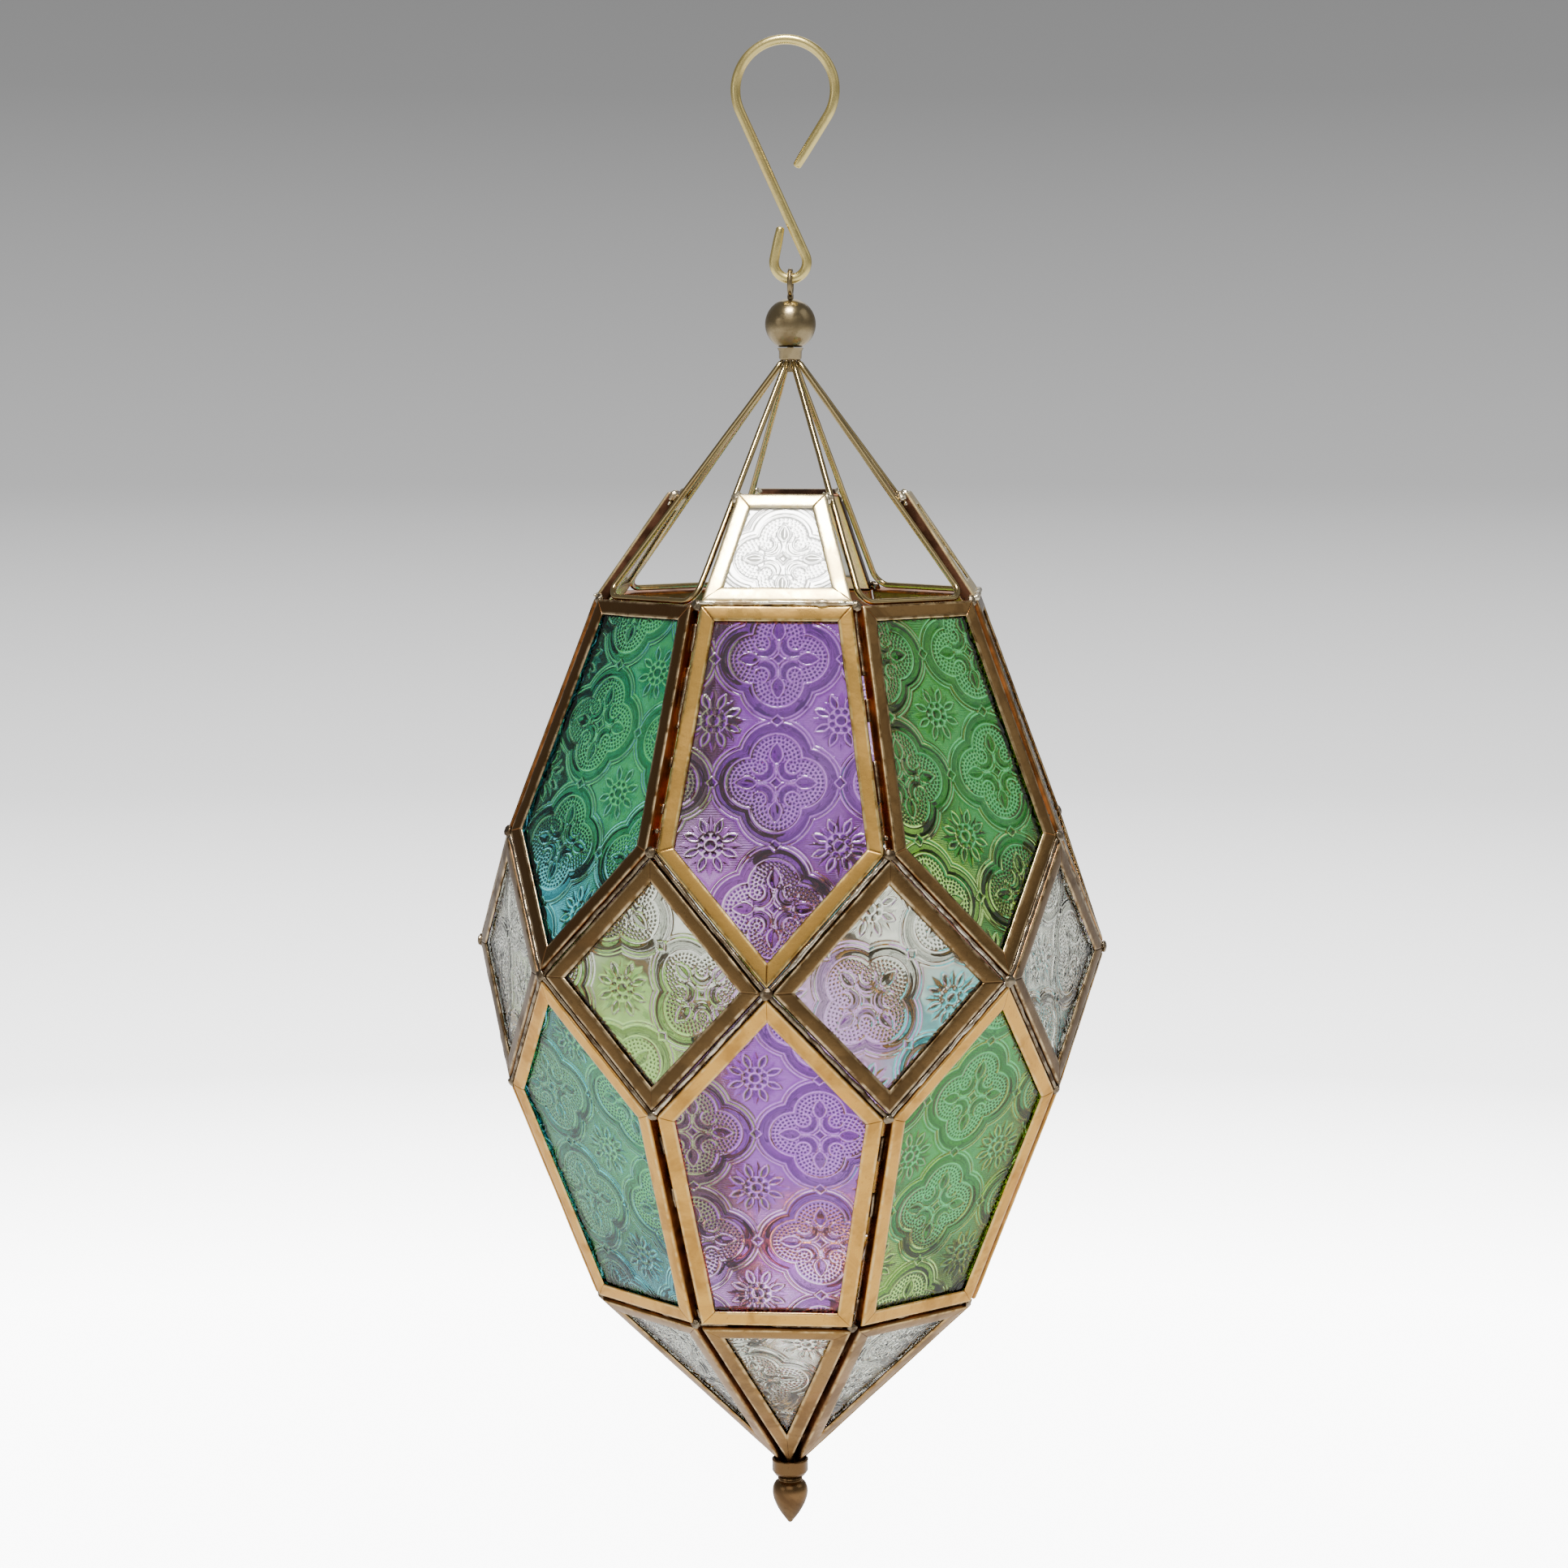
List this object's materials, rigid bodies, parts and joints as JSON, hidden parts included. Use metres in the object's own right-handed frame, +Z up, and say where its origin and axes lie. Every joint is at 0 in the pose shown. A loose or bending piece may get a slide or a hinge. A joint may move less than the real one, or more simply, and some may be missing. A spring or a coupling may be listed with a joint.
{
  "type": "moroccan metal lantern",
  "caption": "Hanging faceted lantern: pressed coloured and clear glass panes in soldered brass came, open crown bays, a bottom finial, and an S-hook, eye and ball above.",
  "frame": {"origin": "where the S-hook's upper loop bears on its support, on the lantern's axis", "axes": "+Z up, the lantern hanging below the origin; -Y is the front face; +X is to the right seen from the front"},
  "size_m": [0.2252, 0.2252, 0.537],
  "materials": {
    "purple_glass": "pressed relief, purple",
    "lime_glass": "pressed relief, lime green",
    "amber_glass": "pressed relief, amber",
    "turquoise_glass": "pressed relief, turquoise",
    "clear_glass": "pressed relief, clear with a faint green-grey tint",
    "crown_brass": "pale worn brass",
    "bronze_brass": "dark antiqued brass",
    "golden_brass": "warm antiqued brass",
    "hook_brass": "pale yellow brass wire",
    "ball_brass": "scuffed dark brass"
  },
  "bodies": {
    "hook": {"s_hook": "hook_brass"},
    "eye": {"eye": "ball_brass"},
    "lantern": {"upper_pane_front": "purple_glass", "lower_pane_front": "purple_glass", "upper_pane_front_right": "lime_glass", "lower_pane_front_right": "lime_glass", "upper_pane_right": "amber_glass", "lower_pane_right": "amber_glass", "upper_pane_back_right": "turquoise_glass", "lower_pane_back_right": "turquoise_glass", "upper_pane_back": "purple_glass", "lower_pane_back": "purple_glass", "upper_pane_back_left": "lime_glass", "lower_pane_back_left": "lime_glass", "upper_pane_left": "amber_glass", "lower_pane_left": "amber_glass", "upper_pane_front_left": "turquoise_glass", "lower_pane_front_left": "turquoise_glass", "diamond_pane_1": "clear_glass", "diamond_pane_2": "clear_glass", "diamond_pane_3": "clear_glass", "diamond_pane_4": "clear_glass", "diamond_pane_5": "clear_glass", "diamond_pane_6": "clear_glass", "diamond_pane_7": "clear_glass", "diamond_pane_8": "clear_glass", "bottom_pane_front": "clear_glass", "bottom_pane_front_right": "clear_glass", "bottom_pane_right": "clear_glass", "bottom_pane_back_right": "clear_glass", "bottom_pane_back": "clear_glass", "bottom_pane_back_left": "clear_glass", "bottom_pane_left": "clear_glass", "bottom_pane_front_left": "clear_glass", "crown_pane_front": "clear_glass", "crown_frame_front": "crown_brass", "crown_pane_right": "clear_glass", "crown_frame_right": "crown_brass", "crown_pane_back": "clear_glass", "crown_frame_back": "crown_brass", "crown_pane_left": "clear_glass", "crown_frame_left": "crown_brass", "upper_frames": "bronze_brass", "diamond_frames": "bronze_brass", "lower_frames": "golden_brass", "bottom_frames": "golden_brass", "hanger_wire_front_right": "crown_brass", "hanger_wire_back_right": "crown_brass", "hanger_wire_back_left": "crown_brass", "hanger_wire_front_left": "crown_brass", "ball": "ball_brass", "neck": "ball_brass", "base_cup": "golden_brass", "finial": "golden_brass", "tie_stud": "golden_brass", "candle_socket": "golden_brass"}
  },
  "joints": [
    {"name": "hook_swing", "type": "hinge", "parent": "hook", "child": "eye", "pos_m": [0, 0, -0.08139], "axis": [1, 0, 0], "range_deg": [-45, 45]},
    {"name": "lantern_swivel", "type": "hinge", "parent": "eye", "child": "lantern", "pos_m": [0, 0, -0.1], "axis": [0, 0, 1], "continuous": true}
  ]
}
